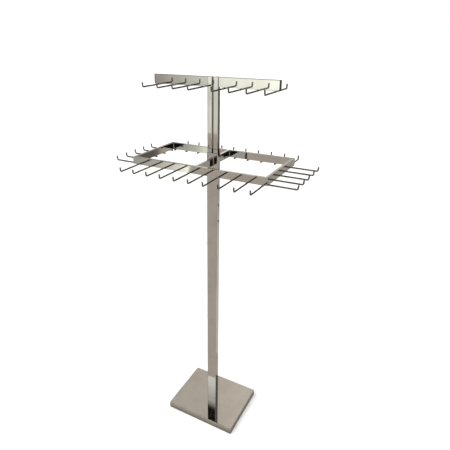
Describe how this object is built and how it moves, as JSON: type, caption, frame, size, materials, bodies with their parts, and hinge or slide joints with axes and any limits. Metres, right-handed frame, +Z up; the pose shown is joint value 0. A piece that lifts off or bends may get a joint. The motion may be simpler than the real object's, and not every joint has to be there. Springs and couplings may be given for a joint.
{
  "type": "clothing rack",
  "caption": "Chrome floor-standing hook rack: rectangular column on a weighted base, a rectangular frame of wire hooks and two height-adjustable arms with prongs.",
  "frame": {"origin": "on the floor, on the axis of the column, which is the centre of the base", "axes": "+X along the long side of the base towards the right arm, +Y to the rear, +Z up the column"},
  "size_m": [0.8342, 0.5292, 1.704],
  "materials": {
    "chrome": "polished chrome plate on steel",
    "painted_steel": "black primer",
    "cast_weight": "rough hot-rolled steel slab",
    "foam_rubber": "matt closed-cell foam",
    "black_nylon": "moulded black nylon",
    "zinc_steel": "zinc plated",
    "spring_steel": "oiled spring steel"
  },
  "bodies": {
    "stand": {"base_cover": "chrome", "base_bottom_plate": "painted_steel", "base_underlay": "foam_rubber", "base_weight": "cast_weight", "column_foot_flange": "painted_steel", "flange_bolts": "zinc_steel", "column_tube": "chrome", "column_guide": "black_nylon", "front_rail": "chrome", "rear_rail": "chrome", "left_rail": "chrome", "right_rail": "chrome", "front_crossbar": "chrome", "rear_crossbar": "chrome", "front_hook_1": "chrome", "front_hook_2": "chrome", "front_hook_3": "chrome", "front_hook_4": "chrome", "front_hook_5": "chrome", "front_hook_6": "chrome", "front_hook_7": "chrome", "front_hook_8": "chrome", "front_hook_9": "chrome", "front_hook_10": "chrome", "rear_hook_1": "chrome", "rear_hook_2": "chrome", "rear_hook_3": "chrome", "rear_hook_4": "chrome", "rear_hook_5": "chrome", "rear_hook_6": "chrome", "rear_hook_7": "chrome", "rear_hook_8": "chrome", "rear_hook_9": "chrome", "rear_hook_10": "chrome", "left_hook_1": "chrome", "left_hook_2": "chrome", "left_hook_3": "chrome", "left_hook_4": "chrome", "left_hook_5": "chrome", "right_hook_1": "chrome", "right_hook_2": "chrome", "right_hook_3": "chrome", "right_hook_4": "chrome", "right_hook_5": "chrome"},
    "left_arm": {"left_upright": "chrome", "left_upright_cap": "chrome", "left_arm_bar": "chrome", "left_arm_cap": "black_nylon", "left_arm_prongs": "chrome", "left_upright_glide": "black_nylon", "left_button_spring": "spring_steel"},
    "right_arm": {"right_upright": "chrome", "right_upright_cap": "chrome", "right_arm_bar": "chrome", "right_arm_cap": "black_nylon", "right_arm_prongs": "chrome", "right_upright_glide": "black_nylon", "right_button_spring": "spring_steel"},
    "left_button": {"left_snap_button": "chrome"},
    "right_button": {"right_snap_button": "chrome"}
  },
  "joints": [
    {"name": "left_arm_height", "type": "slide", "parent": "stand", "child": "left_arm", "axis": [0, 0, 1], "range_m": [-0.2286, 0], "deforming": ["left_snap_button"]},
    {"name": "left_button_press", "type": "slide", "parent": "left_arm", "child": "left_button", "axis": [1, 0, 0], "range_m": [0, 0.0048], "stiffness_N_per_m": 1500, "springref_m": -0.002, "deforming": ["left_button_spring"]},
    {"name": "right_arm_height", "type": "slide", "parent": "stand", "child": "right_arm", "axis": [0, 0, 1], "range_m": [-0.2286, 0], "deforming": ["right_snap_button"]},
    {"name": "right_button_press", "type": "slide", "parent": "right_arm", "child": "right_button", "axis": [-1, 0, 0], "range_m": [0, 0.0048], "stiffness_N_per_m": 1500, "springref_m": -0.002, "deforming": ["right_button_spring"]}
  ]
}
